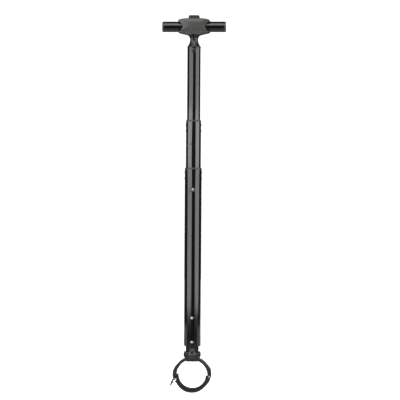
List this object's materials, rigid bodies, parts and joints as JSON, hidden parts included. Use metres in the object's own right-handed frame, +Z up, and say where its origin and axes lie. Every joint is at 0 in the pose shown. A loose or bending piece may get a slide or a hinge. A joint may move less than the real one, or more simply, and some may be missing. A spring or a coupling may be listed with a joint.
{
  "type": "telescopic pull handle",
  "caption": "Telescopic pull-up pole with a T-handle and push button, tilting on a knuckle above a quick-release ring clamp for a round stem.",
  "frame": {"origin": "middle of the clamped stem: on the ring's axis, half-way along its width", "axes": "+Y along the stem, towards the handle's back; +Z up the upright pole; +X to the handle's right, the side of the ring's hinge"},
  "size_m": [0.1206, 0.0338, 0.7145],
  "materials": {
    "gloss_black_tube": "gloss black anodised aluminium tube",
    "grey_rim_plastic": "matte dark grey moulded plastic",
    "hub_plastic": "fine-grained matte charcoal moulded plastic",
    "black_casting": "satin black moulded plastic",
    "satin_black_plastic": "satin to gloss black moulded plastic",
    "clamp_alloy": "dark grey powder-coated die casting",
    "black_rubber": "matte black rubber",
    "black_steel": "black oxide steel fastener",
    "cast_grey_alloy": "dark grey blasted alloy",
    "bright_steel": "bright zinc-plated steel",
    "plain_steel": "drawn steel",
    "spring_steel": "spring steel wire",
    "block_plastic": "filled nylon",
    "brake_brass": "machined brass",
    "washer_plastic": "black acetal"
  },
  "bodies": {
    "clamp": {"ring_upper_half": "clamp_alloy", "upper_pad": "black_rubber", "ring_hinge_pin": "bright_steel", "latch_pin": "bright_steel", "clevis_bracket": "clamp_alloy", "bracket_screws": "black_steel", "front_tab_screw": "black_steel", "pivot_bolt": "black_steel", "pivot_nut": "black_steel", "friction_washers": "washer_plastic"},
    "lower_jaw": {"ring_lower_half": "clamp_alloy", "lower_liner": "black_rubber"},
    "latch": {"latch_lever": "clamp_alloy"},
    "outer_stage": {"outer_tube": "gloss_black_tube", "outer_top_bush": "grey_rim_plastic", "bush_rivet": "bright_steel", "base_plug": "black_casting", "base_rivets": "bright_steel", "knuckle_tongue": "cast_grey_alloy", "tongue_screw": "black_steel"},
    "middle_stage": {"middle_tube": "gloss_black_tube", "middle_top_bush": "grey_rim_plastic", "middle_brake_block": "block_plastic", "middle_block_pegs": "plain_steel", "middle_plunger_spring": "spring_steel"},
    "middle_shoe": {"middle_brake_shoe": "brake_brass"},
    "plunger": {"middle_release_plunger": "plain_steel"},
    "upper_stage": {"upper_tube": "gloss_black_tube", "upper_brake_block": "block_plastic", "upper_block_pegs": "plain_steel", "neck": "black_casting", "neck_screw": "black_steel", "hub_front_shell": "hub_plastic", "hub_back_shell": "hub_plastic", "hub_screws": "black_steel", "grip_tube": "gloss_black_tube", "grip_end_cap_left": "satin_black_plastic", "grip_end_cap_right": "satin_black_plastic", "spring_seat": "plain_steel", "button_spring": "spring_steel"},
    "upper_shoe": {"upper_brake_shoe": "brake_brass"},
    "button": {"push_button": "satin_black_plastic", "push_rod": "plain_steel"}
  },
  "joints": [
    {"name": "pole_tilt", "type": "hinge", "parent": "clamp", "child": "outer_stage", "pos_m": [0, 0, 0.0393], "axis": [1, 0, 0], "range_deg": [-80, 80]},
    {"name": "middle_slide", "type": "slide", "parent": "outer_stage", "child": "middle_stage", "axis": [0, 0, 1], "range_m": [-0.066, 0.13]},
    {"name": "upper_slide", "type": "slide", "parent": "middle_stage", "child": "upper_stage", "axis": [0, 0, 1], "range_m": [-0.125, 0.075]},
    {"name": "button_press", "type": "slide", "parent": "upper_stage", "child": "button", "axis": [0, 0, -1], "range_m": [0, 0.003], "stiffness_N_per_m": 900, "springref_m": -0.004, "deforming": ["button_spring"]},
    {"name": "upper_shoe_retract", "type": "slide", "parent": "upper_stage", "child": "upper_shoe", "axis": [0, -1, 0], "range_m": [0, 0.003]},
    {"name": "plunger_press", "type": "slide", "parent": "middle_stage", "child": "plunger", "axis": [0, 0, -1], "range_m": [0, 0.003], "stiffness_N_per_m": 700, "springref_m": -0.003, "deforming": ["middle_plunger_spring"]},
    {"name": "middle_shoe_retract", "type": "slide", "parent": "middle_stage", "child": "middle_shoe", "axis": [0, -1, 0], "range_m": [0, 0.003]},
    {"name": "ring_open", "type": "hinge", "parent": "clamp", "child": "lower_jaw", "pos_m": [0.0331, 0, -0.0024], "axis": [0, -1, 0], "range_deg": [0, 55]},
    {"name": "latch_turn", "type": "hinge", "parent": "clamp", "child": "latch", "pos_m": [-0.0334, 0, -0.007], "axis": [0, 1, 0], "range_deg": [-30, 60]}
  ],
  "couplings": [
    {"joint": "upper_shoe_retract", "follows": "button_press", "ratio": 1},
    {"joint": "middle_shoe_retract", "follows": "plunger_press", "ratio": 1}
  ]
}
